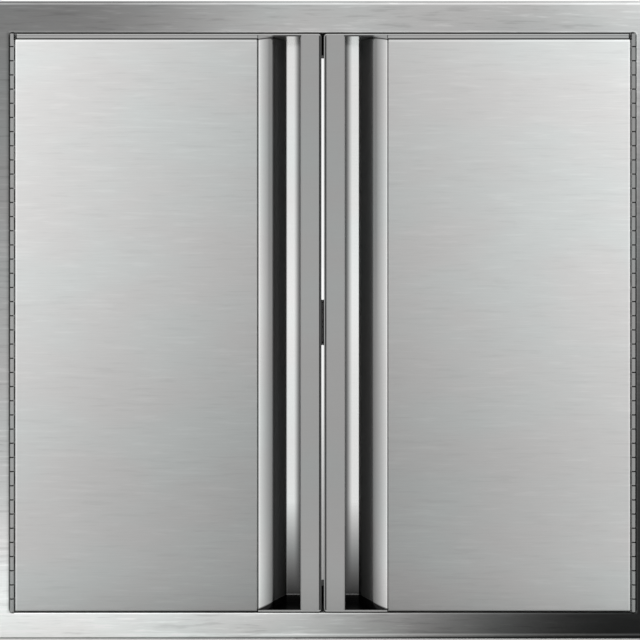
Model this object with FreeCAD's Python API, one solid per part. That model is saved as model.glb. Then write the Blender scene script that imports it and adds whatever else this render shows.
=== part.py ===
import FreeCAD, Part

import math
import os

# Double access door for an outdoor kitchen island, in millimetres.
# X is to the right, Z is up, and Y runs from the front towards the back.
# The shapes are drawn with Y = 0 on the front face of the frame. When they are saved they move forward by
# FRAME_STANDOFF, so that the origin is the middle of the frame on the plane of the wall that it bears on.

# Face frame
FRAME_WIDTH = 660.0
FRAME_HEIGHT = 610.0
FRAME_STANDOFF = 12.0       # front face to the wall
FRAME_SHEET = 1.5
SIDE_FLANGE = 30.5          # outer edge to opening, left and right
TOP_FLANGE = 30.4
BOTTOM_FLANGE = 25.1
FRAME_FOLD = 3.0            # outer radius of the folded edges and of the corners
OPENING_CORNER = 3.5
OPENING_EDGE = 0.8          # bevel of the sheet's edge round the opening
WALL_LIP = 10.0             # width of the lip that lies on the wall

# Sleeve of four folded jambs behind the frame
JAMB_SHEET = 1.5
JAMB_DEPTH = 60.0           # front face of the frame to the rear edge
JAMB_FRONT_LEG = 14.0
JAMB_REAR_LEG = 9.0
JAMB_FOLD = 1.5             # inner radius
SIDE_HOLE_RADIUS = 2.25
SIDE_HOLE_SPACING = 400.0
SIDE_HOLE_DEPTH = 45.0      # front face of the frame to the row of holes
SIDE_HOLE_COUNT = 2

# Stop angles that the doors close against
STOP_SHEET = 1.2
STOP_LEG = 14.0             # how far the stop stands into the opening
STOP_FOOT = 18.0            # its leg along the jamb
STOP_END_GAP = 6.0

# Continuous hinges
HINGE_SHEET = 1.0
HINGE_PROUD = 0.9           # how far the knuckles stand out in front of the frame
HINGE_LEAF = 17.5           # depth of the flat part of a leaf
HINGE_CLEARANCE = 0.35      # knuckle to the opposite edge
PIN_RADIUS = 1.1
PIN_FIT = 0.05              # radial running fit in the knuckles
KNUCKLE_PITCH = 13.52
KNUCKLE_GAP = 0.8
KNUCKLE_ROOT = 0.9          # knuckle to the edge of the opposite leaf
CURL_ANGLE = 240.0          # how far a knuckle wraps round the pin
CURL_COUNT = 10             # flats that the outside of a knuckle is drawn with
BORE_COUNT = 6              # flats of its bore

# Doors
DOOR_SHEET = 1.2
DOOR_DEPTH = 25.0
MEETING_GAP = 2.4
TOP_GAP = 1.2
BOTTOM_GAP = 1.2
RIM_LIP = 4.5               # height of the lip that the inner pan's rim turns down above the skin
RIM_SETBACK = 0.8           # front edges of the inner pan's rim behind the face
DOOR_CORNER = 3.0
SKIN_FOLD = 2.0             # outer radius of the folds of the skin and of its corners
SKIN_RETURN = 7.0           # short fold beside the recess
PAN_FLANGE = 4.0            # flange of the inner pan inside the skin

# Handle: a recess beside the middle gap, and the bar that a hand pulls
GRIP_WIDTH = 20.6           # with the rim of the inner pan beside it
GRIP_LIP = 9.0              # depth of the lip behind which the fingers hook
GRIP_FOLD = 1.4             # inner radius
RECESS_MOUTH = 40.6         # clear width from the skin to the grip bar
SHOULDER_RADIUS = 16.5
FLANK_ANGLE = 57.0
FOOT_RADIUS = 3.0
CREST_FLAT = 0.8            # flat strip between the skin and the shoulder
CHANNEL_FOLD = 1.2          # centre-line radius of the small folds
CHANNEL_FLANGE = 7.0        # flange beside the skin
CHANNEL_CLEARANCE = 0.1
CAP_SHEET = 1.2
FLOOR_SHEET = 1.6
PLATE_SETBACK = 0.4         # front edges of cap and floor behind the face

# Stiffener behind each skin
HAT_WIDTH = 24.0
HAT_FLANGE = 11.0
HAT_OFFSET = 118.0          # centre of the stiffener to the hinge edge of the door
HAT_END_GAP = 16.0

# Catches, strikes, pads
CATCH_WIDTH = 46.0
CATCH_HEIGHT = 16.0
CATCH_DEPTH = 18.0
CATCH_EAR = 11.0
CATCH_EAR_THICKNESS = 2.6
CATCH_EAR_DEPTH = 11.0
CATCH_ROUND = 1.5
CATCH_NOTCH_CLEARANCE = 1.5
MAGNET_WIDTH = 15.0
MAGNET_HEIGHT = 8.0
MAGNET_DEPTH = 9.0
MAGNET_PROUD = 0.3
MAGNET_SPACING = 24.0
MAGNET_GAP = 0.4            # strike to magnet when the door is shut
STRIKE_WIDTH = 19.0
STRIKE_HEIGHT = 13.0
STRIKE_SHEET = 1.2
STRIKE_BEVEL = 0.3
STRIKE_EDGE_GAP = 4.0       # strike to the top or bottom of the door
SCREW_RADIUS = 1.7
SCREW_FIT = 0.05
SCREW_HEAD_RADIUS = 3.2
SCREW_HEAD_HEIGHT = 1.9
SCREW_COUNT = 6             # flats that a screw's shank is drawn with
HEAD_COUNT = 8              # flats of its head
BUMPER_WIDTH = 12.0
BUMPER_HEIGHT = 8.0
BUMPER_GAP = 0.3            # bumper to the stop when the door is shut
BUMPER_THICKNESS = 2.4
BUMPER_EDGE_GAP = 3.0       # bumper to the top or bottom of the door
BUMPER_INSET = 60.0         # bumper to the hinge edge, and to the strike
MEETING_PAD_HEIGHT = 43.0
MEETING_PAD_THICKNESS = 1.05
MEETING_PAD_SETBACK = 1.6   # pad behind the rounded edge of the bar
MEETING_PAD_DEPTH = 7.6
MEETING_PAD_ROUND = 0.4

# Places that follow from the sizes above
FRAME_RIGHT = FRAME_WIDTH / 2
FRAME_TOP = FRAME_HEIGHT / 2
OPENING_RIGHT = FRAME_RIGHT - SIDE_FLANGE
OPENING_TOP = FRAME_TOP - TOP_FLANGE
OPENING_LOW = BOTTOM_FLANGE - FRAME_TOP
PIN_BORE = PIN_RADIUS + PIN_FIT
KNUCKLE_RADIUS = PIN_BORE + HINGE_SHEET
KNUCKLE_OFFSET = KNUCKLE_RADIUS + HINGE_CLEARANCE
HINGE_X = OPENING_RIGHT - KNUCKLE_OFFSET
HINGE_Y = KNUCKLE_RADIUS - HINGE_PROUD
LEAF_Y = HINGE_Y + KNUCKLE_RADIUS + KNUCKLE_ROOT
DOOR_OUTER = HINGE_X - KNUCKLE_OFFSET
DOOR_INNER = MEETING_GAP / 2
DOOR_LOW = OPENING_LOW + BOTTOM_GAP
DOOR_TOP = OPENING_TOP - TOP_GAP
DOOR_MIDDLE = (DOOR_LOW + DOOR_TOP) / 2
SKIN_TOP = DOOR_TOP - RIM_LIP - CHANNEL_CLEARANCE
PAN_BACK = DOOR_DEPTH - DOOR_SHEET
GRIP_OUTER = DOOR_INNER + GRIP_WIDTH
GRIP_INNER = DOOR_INNER + DOOR_SHEET + CHANNEL_CLEARANCE
GRIP_TOP = DOOR_TOP - DOOR_SHEET - CHANNEL_CLEARANCE
SKIN_INNER = GRIP_OUTER + RECESS_MOUTH
FLOOR_TOP = DOOR_LOW + FLOOR_SHEET
CAP_LOW = GRIP_TOP - CAP_SHEET
STOP_Y = DOOR_DEPTH + BUMPER_THICKNESS + BUMPER_GAP
STRIKE_BACK = DOOR_DEPTH + STRIKE_SHEET
MAGNET_Y = STRIKE_BACK + MAGNET_GAP
CATCH_Y = MAGNET_Y + MAGNET_PROUD
MARGIN = 5.0                # how far cutting tools reach past what they cut
TOUCH = 1e-4                # within this an edge counts as lying on a plane

UP = FreeCAD.Vector(0, 0, 1)
BACK = FreeCAD.Vector(0, 1, 0)
RIGHT = FreeCAD.Vector(1, 0, 0)


def point(x, y, z):
    return FreeCAD.Vector(x, y, z)


def box(x, y, z):
    """A block between two limits on each axis."""
    size = [high - low for low, high in (x, y, z)]
    return Part.makeBox(*size, point(x[0], y[0], z[0]))


def edges_where(shape, test):
    return [edge for edge in shape.Edges if test(edge.BoundBox)]


def runs_back(bounds):
    return bounds.YLength > 10 * max(bounds.XLength, bounds.ZLength)


def rounded_block(x, y, z, corners):
    """A block with rounded corners in front view: one radius at the low-x side, one at the high-x side."""
    block = box(x, y, z)
    middle = (x[0] + x[1]) / 2
    for radius, side in zip(corners, (-1, 1)):
        if radius > 0:
            upright = edges_where(block, lambda b: runs_back(b) and (b.Center.x - middle) * side > 0)
            block = block.makeFillet(radius, upright)
    return block


def prism(radius, flats, height, foot):
    """An upright bar with flats, whose corners lie on the radius."""
    turn = 2 * math.pi / flats
    corners = [foot + point(radius * math.cos(turn * n), radius * math.sin(turn * n), 0) for n in range(flats + 1)]
    return Part.Face(Part.makePolygon(corners)).extrude(UP * height)


def path_side(points, radii, offset):
    """Edges that follow a path of straight runs and bends at an offset to its left, in the XY plane.

    A bend of radius 0 is a sharp corner.
    """
    points = [point(x, y, 0) for x, y in points]
    runs = [(b - a).normalize() for a, b in zip(points, points[1:])]
    lefts = [point(-run.y, run.x, 0) for run in runs]
    edges = []
    start = points[0] + lefts[0] * offset
    for number, radius in enumerate(radii):
        before, after = runs[number], runs[number + 1]
        if radius == 0:
            mitre = (lefts[number] + lefts[number + 1]) / (1 + before.dot(after))
            corner = points[number + 1] + mitre * offset
            edges.append(Part.LineSegment(start, corner).toShape())
            start = corner
            continue
        turn = before.cross(after).z
        side = math.copysign(1, turn)
        reach = radius * math.tan(before.getAngle(after) / 2)
        corner = points[number + 1]
        bend_start = corner - before * reach
        bend_end = corner + after * reach
        centre = bend_start + lefts[number] * side * radius
        inward = (corner - centre).normalize()
        arc_start = bend_start + lefts[number] * offset
        arc_middle = centre + inward * (radius - side * offset)
        arc_end = bend_end + lefts[number + 1] * offset
        edges.append(Part.LineSegment(start, arc_start).toShape())
        edges.append(Part.Arc(arc_start, arc_middle, arc_end).toShape())
        start = arc_end
    edges.append(Part.LineSegment(start, points[-1] + lefts[-1] * offset).toShape())
    return edges


def face_between(first, second):
    """The flat face between two runs of edges that start side by side."""
    ends = [
        Part.LineSegment(first[0].Vertexes[0].Point, second[0].Vertexes[0].Point).toShape(),
        Part.LineSegment(first[-1].Vertexes[-1].Point, second[-1].Vertexes[-1].Point).toShape(),
    ]
    return Part.Face(Part.Wire(Part.__sortEdges__(first + second + ends)))


def folded_sheet(points, radii, thickness):
    """The section of a sheet of even thickness, folded along the path of its middle."""
    half = thickness / 2
    return face_between(path_side(points, radii, half), path_side(points, radii, -half))


def stand_up(section, low, high):
    """Extrude a section drawn in the XY plane along Z."""
    solid = section.extrude(UP * (high - low))
    solid.translate(UP * low)
    return solid


def across(section, left, right):
    """Extrude a section along X. It is drawn with height along X and depth along Y."""
    solid = section.extrude(UP * (right - left))
    solid.rotate(point(0, 0, 0), BACK, -90)
    solid.translate(RIGHT * right)
    return solid


def mirror_left(shape):
    """The same piece for the other door."""
    return shape.mirror(point(0, 0, 0), RIGHT)


def upside_down(shape, height):
    """The same piece mirrored about a level plane."""
    return shape.mirror(point(0, 0, height), UP)


def inset(limits, amount):
    return (limits[0] + amount, limits[1] - amount)


def folded_shell(x, y, z, radius, sides):
    """A block whose front edges are folded round, with the corners on the given sides folded too."""
    block = box(x, y, z)
    middle = (x[0] + x[1]) / 2
    folds = edges_where(block, lambda b: b.YMax < y[0] + TOUCH)
    for side in sides:
        folds += edges_where(block, lambda b: runs_back(b) and (b.Center.x - middle) * side > 0)
    return block.makeFillet(radius, folds)


def face_frame():
    """One sheet: the face with its opening, edges folded back, and a lip that lies on the wall."""
    wide = (-FRAME_RIGHT, FRAME_RIGHT)
    tall = (-FRAME_TOP, FRAME_TOP)
    shell = folded_shell(wide, (0, FRAME_STANDOFF), tall, FRAME_FOLD, (-1, 1))
    hollow = box(inset(wide, FRAME_SHEET), (FRAME_SHEET, FRAME_STANDOFF - FRAME_SHEET), inset(tall, FRAME_SHEET))
    inner_fold = edges_where(hollow, lambda b: b.YMax < FRAME_SHEET + TOUCH)
    hollow = hollow.makeChamfer((FRAME_FOLD - FRAME_SHEET) / 2, inner_fold)
    rear = box(inset(wide, WALL_LIP), (FRAME_STANDOFF / 2, FRAME_STANDOFF + MARGIN), inset(tall, WALL_LIP))
    opening = rounded_block((-OPENING_RIGHT, OPENING_RIGHT), (-MARGIN, FRAME_STANDOFF),
                            (OPENING_LOW, OPENING_TOP), (OPENING_CORNER, OPENING_CORNER))
    frame = shell.cut(hollow).cut(rear).cut(opening)
    edge = edges_where(frame, lambda b: b.YMax < TOUCH and abs(b.Center.x) < OPENING_RIGHT + TOUCH
                       and OPENING_LOW - TOUCH < b.Center.z < OPENING_TOP + TOUCH)
    return frame.makeChamfer(OPENING_EDGE, edge)


def jamb_section():
    """Section of a jamb: distance out from the opening along X, depth along Y."""
    half = JAMB_SHEET / 2
    front = FRAME_SHEET + half
    rear = JAMB_DEPTH - half
    path = [(JAMB_FRONT_LEG, front), (half, front), (half, rear), (JAMB_REAR_LEG, rear)]
    fold = JAMB_FOLD + half
    return folded_sheet(path, [fold, fold], JAMB_SHEET)


def jamb_right():
    jamb = stand_up(jamb_section(), OPENING_LOW, OPENING_TOP)
    jamb.translate(RIGHT * OPENING_RIGHT)
    middle = (OPENING_LOW + OPENING_TOP) / 2
    for number in range(SIDE_HOLE_COUNT):
        height = middle + (number - (SIDE_HOLE_COUNT - 1) / 2) * SIDE_HOLE_SPACING
        start = point(OPENING_RIGHT - MARGIN, SIDE_HOLE_DEPTH, height)
        jamb = jamb.cut(Part.makeCylinder(SIDE_HOLE_RADIUS, JAMB_SHEET + 2 * MARGIN, start, RIGHT))
    return jamb


def jamb_header():
    reach = OPENING_RIGHT + JAMB_SHEET
    header = across(jamb_section(), -reach, reach)
    header.translate(UP * OPENING_TOP)
    return header


def jamb_sill():
    reach = OPENING_RIGHT + JAMB_SHEET
    sill = upside_down(across(jamb_section(), -reach, reach), 0)
    sill.translate(UP * OPENING_LOW)
    return sill


def stop_angle_top():
    """Angle below the header. Its hanging leg has a notch for the catch."""
    half = STOP_SHEET / 2
    path = [(-STOP_LEG, STOP_Y + half), (-half, STOP_Y + half), (-half, STOP_Y + STOP_FOOT)]
    reach = OPENING_RIGHT - STOP_END_GAP
    angle = across(folded_sheet(path, [STOP_SHEET + half], STOP_SHEET), -reach, reach)
    notch = CATCH_WIDTH / 2 + CATCH_EAR + CATCH_NOTCH_CLEARANCE
    angle = angle.cut(box((-notch, notch), (STOP_Y - MARGIN, STOP_Y + STOP_FOOT + MARGIN),
                          (-STOP_LEG - MARGIN, -STOP_SHEET)))
    for screw in catch_screw_places():
        angle = angle.cut(prism(SCREW_RADIUS + SCREW_FIT, SCREW_COUNT, 2 * MARGIN, screw - UP * MARGIN))
    angle.translate(UP * OPENING_TOP)
    return angle


def catch_screw_places():
    """Where the two catch screws stand, with z = 0 at the face of the header."""
    x = CATCH_WIDTH / 2 + CATCH_EAR / 2
    y = CATCH_Y + CATCH_DEPTH - CATCH_EAR_DEPTH / 2
    return [point(-x, y, 0), point(x, y, 0)]


def catch_housing_top():
    """Black double catch: a rounded body with two magnet pockets and an ear at each end."""
    top = -STOP_SHEET
    back = CATCH_Y + CATCH_DEPTH
    half = CATCH_WIDTH / 2
    body = rounded_block((-half, half), (CATCH_Y, back), (top - CATCH_HEIGHT, top),
                         (CATCH_ROUND, CATCH_ROUND))
    reach = half + CATCH_EAR
    ear = box((-reach, reach), (back - CATCH_EAR_DEPTH, back), (top - CATCH_EAR_THICKNESS, top))
    housing = body.fuse(ear)
    for screw in catch_screw_places():
        housing = housing.cut(prism(SCREW_RADIUS + SCREW_FIT, SCREW_COUNT, 2 * MARGIN, screw - UP * MARGIN))
    for magnet in catch_magnets():
        housing = housing.cut(magnet)
    housing = housing.removeSplitter()
    housing.translate(UP * OPENING_TOP)
    return housing


def catch_magnets():
    """The two magnets, with z = 0 at the face of the header."""
    low = -STOP_SHEET - CATCH_HEIGHT / 2 - MAGNET_HEIGHT / 2
    magnets = []
    for x in (-MAGNET_SPACING / 2, MAGNET_SPACING / 2):
        magnets.append(box((x - MAGNET_WIDTH / 2, x + MAGNET_WIDTH / 2), (MAGNET_Y, MAGNET_Y + MAGNET_DEPTH),
                           (low, low + MAGNET_HEIGHT)))
    return magnets


def catch_magnets_top():
    group = Part.makeCompound(catch_magnets())
    group.translate(UP * OPENING_TOP)
    return group


def catch_screws_top():
    """Pan-head screws through the ears and the foot of the stop angle into the header."""
    length = STOP_SHEET + CATCH_EAR_THICKNESS
    screws = []
    for place in catch_screw_places():
        foot = place - UP * length
        shank = prism(SCREW_RADIUS, SCREW_COUNT, length, foot)
        head = prism(SCREW_HEAD_RADIUS, HEAD_COUNT, SCREW_HEAD_HEIGHT, foot - UP * SCREW_HEAD_HEIGHT)
        low = edges_where(head, lambda b: b.ZMax < foot.z - SCREW_HEAD_HEIGHT + TOUCH)
        screws.append(head.makeChamfer(SCREW_HEAD_HEIGHT / 2, low).fuse(shank))
    group = Part.makeCompound(screws)
    group.translate(UP * OPENING_TOP)
    return group


def knuckle_spans():
    """Heights of all knuckles of a hinge. The first and last share what the full ones leave over."""
    length = DOOR_TOP - DOOR_LOW
    full = 2 * int(length / (2 * KNUCKLE_PITCH)) - 1
    end = (length - full * KNUCKLE_PITCH) / 2
    limits = [DOOR_LOW] + [DOOR_LOW + end + number * KNUCKLE_PITCH for number in range(full + 1)] + [DOOR_TOP]
    last = len(limits) - 2
    spans = []
    for number, (low, high) in enumerate(zip(limits, limits[1:])):
        spans.append((low + (KNUCKLE_GAP / 2 if number else 0), high - (KNUCKLE_GAP / 2 if number < last else 0)))
    return spans


def curl(radius, flats):
    """Corners of the rolled sheet round the pin, from the leaf forwards and on to the end of the roll."""
    turn = math.radians(CURL_ANGLE) / flats
    return [point(radius * math.cos(turn * n), -radius * math.sin(turn * n), 0) for n in range(flats + 1)]


def knuckle_section():
    """A knuckle rolled from the leaf: the sheet curls round the pin, with the pin's axis at the origin.

    The leaf stands to the right of the axis and runs back along Y. The flats of the bore touch its radius.
    """
    leaf = LEAF_Y - HINGE_Y
    bore = PIN_BORE / math.cos(math.radians(CURL_ANGLE) / BORE_COUNT / 2)
    inside = curl(bore, BORE_COUNT)
    inside.reverse()
    root = [point(KNUCKLE_OFFSET - HINGE_SHEET, leaf, 0), point(KNUCKLE_OFFSET, leaf, 0)]
    outline = curl(KNUCKLE_RADIUS, CURL_COUNT) + inside + root
    return Part.Face(Part.makePolygon(outline + outline[:1]))


def hinge_leaf(spans):
    """A leaf that stands to the right of the pin, with its knuckles at the given heights."""
    plate = box((KNUCKLE_OFFSET - HINGE_SHEET, KNUCKLE_OFFSET), (LEAF_Y - HINGE_Y, LEAF_Y - HINGE_Y + HINGE_LEAF),
                (DOOR_LOW, DOOR_TOP))
    knuckles = [stand_up(knuckle_section(), low, high) for low, high in spans]
    return plate.multiFuse(knuckles).removeSplitter()


def hinge_frame_leaf():
    """Leaf on the jamb of the right side. It has the odd knuckles, and so both end ones."""
    leaf = hinge_leaf(knuckle_spans()[0::2])
    leaf.translate(point(HINGE_X, HINGE_Y, 0))
    return leaf


def hinge_door_leaf():
    """Leaf on the edge of the right door, with the even knuckles."""
    leaf = mirror_left(hinge_leaf(knuckle_spans()[1::2]))
    leaf.translate(point(HINGE_X, HINGE_Y, 0))
    return leaf


def hinge_pin():
    return Part.makeCylinder(PIN_RADIUS, DOOR_TOP - DOOR_LOW, point(HINGE_X, HINGE_Y, DOOR_LOW), UP)


def door_skin():
    """Front sheet of the right door, folded back at the hinge edge, top and bottom."""
    wide = (SKIN_INNER, DOOR_OUTER)
    tall = (DOOR_LOW, SKIN_TOP)
    shell = folded_shell(wide, (0, PAN_BACK), tall, SKIN_FOLD, (1,))
    hollow = box(inset(wide, DOOR_SHEET), (DOOR_SHEET, PAN_BACK + MARGIN), inset(tall, DOOR_SHEET))
    beside_recess = box((SKIN_INNER - MARGIN, SKIN_INNER + DOOR_SHEET + MARGIN),
                        (SKIN_RETURN, PAN_BACK + MARGIN),
                        (DOOR_LOW + DOOR_SHEET, SKIN_TOP - DOOR_SHEET))
    return shell.cut(hollow).cut(beside_recess)


def door_outline(y, amount=0):
    """The door in front view, with round corners at the meeting edge. It can be made smaller."""
    return rounded_block((DOOR_INNER + amount, DOOR_OUTER - SKIN_FOLD + amount), y,
                         inset((DOOR_LOW, DOOR_TOP), amount), (DOOR_CORNER - amount, 0))


def pan_rim():
    """The inner pan's edge: a strip along the top of the door and beside the grip bar.

    Above the skin it turns down into a lip. Its lower end stands on the floor plate.
    """
    rim = door_outline((RIM_SETBACK, PAN_BACK)).cut(door_outline((0, DOOR_DEPTH), DOOR_SHEET))
    rim = rim.common(box((DOOR_INNER, DOOR_OUTER), (0, DOOR_DEPTH), (FLOOR_TOP, DOOR_TOP)))
    lip = box((SKIN_INNER, DOOR_OUTER - SKIN_FOLD), (RIM_SETBACK, RIM_SETBACK + DOOR_SHEET),
              (DOOR_TOP - RIM_LIP, DOOR_TOP))
    return rim.fuse(lip).removeSplitter()


def door_liner():
    """Inner pan: the back of the door, and a flange inside the skin."""
    back = rounded_block((DOOR_INNER, DOOR_OUTER), (PAN_BACK, DOOR_DEPTH), (DOOR_LOW, DOOR_TOP),
                         (DOOR_CORNER, SKIN_FOLD))
    wide = (SKIN_INNER + DOOR_SHEET, DOOR_OUTER - DOOR_SHEET)
    tall = (DOOR_LOW + DOOR_SHEET, SKIN_TOP - DOOR_SHEET)
    flange = box(wide, (PAN_BACK - PAN_FLANGE, PAN_BACK), tall)
    hollow = box((wide[0] - MARGIN, wide[1] - DOOR_SHEET), (PAN_BACK - PAN_FLANGE - MARGIN, PAN_BACK),
                 inset(tall, DOOR_SHEET))
    return back.fuse(flange.cut(hollow)).removeSplitter()


def channel_path():
    """Middle of the handle channel's sheet, from the flange at the skin to the edge of the grip bar."""
    half = DOOR_SHEET / 2
    flange_x = SKIN_INNER - CHANNEL_CLEARANCE - half
    shoulder_reach = SHOULDER_RADIUS * math.tan(math.radians(FLANK_ANGLE) / 2)
    crest_x = flange_x - CHANNEL_FOLD - CREST_FLAT - shoulder_reach
    back_y = PAN_BACK - half
    foot_x = crest_x - (back_y - half) / math.tan(math.radians(FLANK_ANGLE))
    edge_x = GRIP_INNER + DOOR_SHEET + CHANNEL_CLEARANCE
    points = [
        (flange_x, CHANNEL_FLANGE),
        (flange_x, half),
        (crest_x, half),
        (foot_x, back_y),
        (edge_x, back_y),
    ]
    return points, [CHANNEL_FOLD, SHOULDER_RADIUS, FOOT_RADIUS]


def handle_channel():
    """The recess: a rolled shoulder, a steep flank and a flat back, in one folded sheet."""
    points, radii = channel_path()
    return stand_up(folded_sheet(points, radii, DOOR_SHEET), FLOOR_TOP, CAP_LOW)


def recess_plate(low, high):
    """A flat plate that closes the end of the recess. Its back edge follows the channel."""
    points, radii = channel_path()
    back = path_side(points[1:5], radii[1:3], -DOOR_SHEET / 2)
    start, end = back[0].Vertexes[0].Point, back[-1].Vertexes[-1].Point
    outline = [
        Part.LineSegment(start, point(start.x, PLATE_SETBACK, 0)).toShape(),
        Part.LineSegment(point(start.x, PLATE_SETBACK, 0), point(end.x, PLATE_SETBACK, 0)).toShape(),
        Part.LineSegment(point(end.x, PLATE_SETBACK, 0), end).toShape(),
    ]
    return stand_up(Part.Face(Part.Wire(Part.__sortEdges__(back + outline))), low, high)


def grip_bar():
    """The bar that a hand pulls: lip, face and edge, folded from one sheet. It lies inside the pan's rim."""
    half = DOOR_SHEET / 2
    lip_x = GRIP_OUTER - half
    edge_x = GRIP_INNER + half
    fold = GRIP_FOLD + half
    path = [(lip_x, GRIP_LIP), (lip_x, half), (edge_x, half), (edge_x, PAN_BACK)]
    bar = stand_up(folded_sheet(path, [fold, fold], DOOR_SHEET), FLOOR_TOP, GRIP_TOP)
    return bar.common(door_outline((-MARGIN, DOOR_DEPTH), GRIP_INNER - DOOR_INNER))


def recess_cap():
    """Plate under the rim that closes the top of the recess. It fits round the grip bar."""
    return recess_plate(CAP_LOW, GRIP_TOP).cut(grip_bar())


def recess_floor():
    """Plate under the recess and the grip bar. Its round end is the lower corner of the door."""
    under_bar = box((DOOR_INNER, GRIP_OUTER), (PLATE_SETBACK, PAN_BACK), (DOOR_LOW, FLOOR_TOP))
    round_end = under_bar.common(door_outline((0, DOOR_DEPTH)))
    return recess_plate(DOOR_LOW, FLOOR_TOP).fuse(round_end).removeSplitter()


def stiffener():
    """Hat section between the skin and the inner pan."""
    half = DOOR_SHEET / 2
    near = DOOR_SHEET + half
    far = PAN_BACK - half
    centre = DOOR_OUTER - HAT_OFFSET
    inner = HAT_WIDTH / 2 - half
    outer = HAT_WIDTH / 2 + HAT_FLANGE
    path = [(centre - outer, near), (centre - inner, near), (centre - inner, far),
            (centre + inner, far), (centre + inner, near), (centre + outer, near)]
    section = folded_sheet(path, [0] * len(path[1:-1]), DOOR_SHEET)
    return stand_up(section, DOOR_LOW + HAT_END_GAP, SKIN_TOP - HAT_END_GAP)


def strike(low):
    """Steel plate on the back of the door, in front of a magnet."""
    centre = MAGNET_SPACING / 2
    plate = box((centre - STRIKE_WIDTH / 2, centre + STRIKE_WIDTH / 2), (DOOR_DEPTH, STRIKE_BACK),
                (low, low + STRIKE_HEIGHT))
    rear = edges_where(plate, lambda b: b.YMin > STRIKE_BACK - TOUCH)
    return plate.makeChamfer(STRIKE_BEVEL, rear)


def strike_top():
    return strike(DOOR_TOP - STRIKE_EDGE_GAP - STRIKE_HEIGHT)


def strike_bottom():
    return strike(DOOR_LOW + STRIKE_EDGE_GAP)


def bumpers():
    """Rubber pads on the back of the door that meet the stop angles."""
    places = [DOOR_OUTER - BUMPER_INSET, MAGNET_SPACING / 2 + STRIKE_WIDTH / 2 + BUMPER_INSET]
    lows = [DOOR_LOW + BUMPER_EDGE_GAP, DOOR_TOP - BUMPER_EDGE_GAP - BUMPER_HEIGHT]
    pads = []
    for x in places:
        for low in lows:
            pads.append(box((x - BUMPER_WIDTH / 2, x + BUMPER_WIDTH / 2),
                            (DOOR_DEPTH, DOOR_DEPTH + BUMPER_THICKNESS), (low, low + BUMPER_HEIGHT)))
    return Part.makeCompound(pads)


def meeting_pad():
    """Soft pad on the meeting edge, at the middle of its height."""
    pad = box((DOOR_INNER - MEETING_PAD_THICKNESS, DOOR_INNER),
              (MEETING_PAD_SETBACK, MEETING_PAD_SETBACK + MEETING_PAD_DEPTH),
              (DOOR_MIDDLE - MEETING_PAD_HEIGHT / 2, DOOR_MIDDLE + MEETING_PAD_HEIGHT / 2))
    outer = edges_where(pad, lambda b: b.XMax < DOOR_INNER - MEETING_PAD_THICKNESS + TOUCH)
    return pad.makeChamfer(MEETING_PAD_ROUND, outer)


def save(name, shape):
    """Write one node, moved so that the wall plane is at Y = 0."""
    moved = shape.copy()
    moved.translate(BACK * -FRAME_STANDOFF)
    moved.exportStep(os.path.join("parts", name + ".step"))


def main():
    os.makedirs("parts", exist_ok=True)
    middle = (OPENING_LOW + OPENING_TOP) / 2
    for name, build in {
        "face_frame": face_frame,
        "jamb_header": jamb_header,
        "jamb_sill": jamb_sill,
    }.items():
        save(name, build())
    for name, build in {
        "jamb": jamb_right,
        "hinge_frame_leaf": hinge_frame_leaf,
        "hinge_pin": hinge_pin,
        "hinge_door_leaf": hinge_door_leaf,
        "door_skin": door_skin,
        "door_liner": door_liner,
        "pan_rim": pan_rim,
        "handle_channel": handle_channel,
        "grip_bar": grip_bar,
        "recess_cap": recess_cap,
        "recess_floor": recess_floor,
        "stiffener": stiffener,
        "strike_top": strike_top,
        "strike_bottom": strike_bottom,
        "bumpers": bumpers,
        "meeting_pad": meeting_pad,
    }.items():
        piece = build()
        save("right_" + name, piece)
        save("left_" + name, mirror_left(piece))
    for name, build in {
        "stop_angle": stop_angle_top,
        "catch_housing": catch_housing_top,
        "catch_magnets": catch_magnets_top,
        "catch_screws": catch_screws_top,
    }.items():
        piece = build()
        save(name + "_top", piece)
        save(name + "_bottom", upside_down(piece, middle))


main()
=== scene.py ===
"""Double access door for an outdoor kitchen island: finishes, rolled hinges, screws and studio."""

import math

import bmesh
import bpy
from bpy.props import FloatProperty, FloatVectorProperty, IntProperty, PointerProperty
from mathutils import Matrix, Vector


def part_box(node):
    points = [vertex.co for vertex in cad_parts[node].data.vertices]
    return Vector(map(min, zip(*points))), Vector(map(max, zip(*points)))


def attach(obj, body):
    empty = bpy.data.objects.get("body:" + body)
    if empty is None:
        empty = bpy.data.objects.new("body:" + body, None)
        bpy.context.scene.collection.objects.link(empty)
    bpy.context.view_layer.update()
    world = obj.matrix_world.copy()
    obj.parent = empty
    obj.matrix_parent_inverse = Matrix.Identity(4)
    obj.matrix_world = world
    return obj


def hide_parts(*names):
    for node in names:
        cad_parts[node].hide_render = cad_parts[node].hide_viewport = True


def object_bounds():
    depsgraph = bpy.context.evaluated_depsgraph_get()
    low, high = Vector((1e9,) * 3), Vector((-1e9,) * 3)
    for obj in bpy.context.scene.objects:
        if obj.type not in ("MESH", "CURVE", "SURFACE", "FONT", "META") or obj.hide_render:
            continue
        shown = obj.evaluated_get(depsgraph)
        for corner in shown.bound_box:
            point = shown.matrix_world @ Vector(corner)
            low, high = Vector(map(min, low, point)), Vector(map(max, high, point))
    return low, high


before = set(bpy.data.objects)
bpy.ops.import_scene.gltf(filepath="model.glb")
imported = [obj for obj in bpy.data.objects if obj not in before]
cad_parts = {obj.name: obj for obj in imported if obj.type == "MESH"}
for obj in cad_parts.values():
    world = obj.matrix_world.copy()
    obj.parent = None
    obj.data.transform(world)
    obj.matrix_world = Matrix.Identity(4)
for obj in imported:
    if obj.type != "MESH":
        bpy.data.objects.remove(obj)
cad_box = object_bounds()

bl_info = {
    "name": "Island access door",
    "version": (1, 0, 0),
    "blender": (4, 5, 0),
    "location": "3D View > Sidebar > Access door",
    "description": "Finishes the packed double access door and sets it in a plain studio",
    "category": "Object",
}

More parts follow.
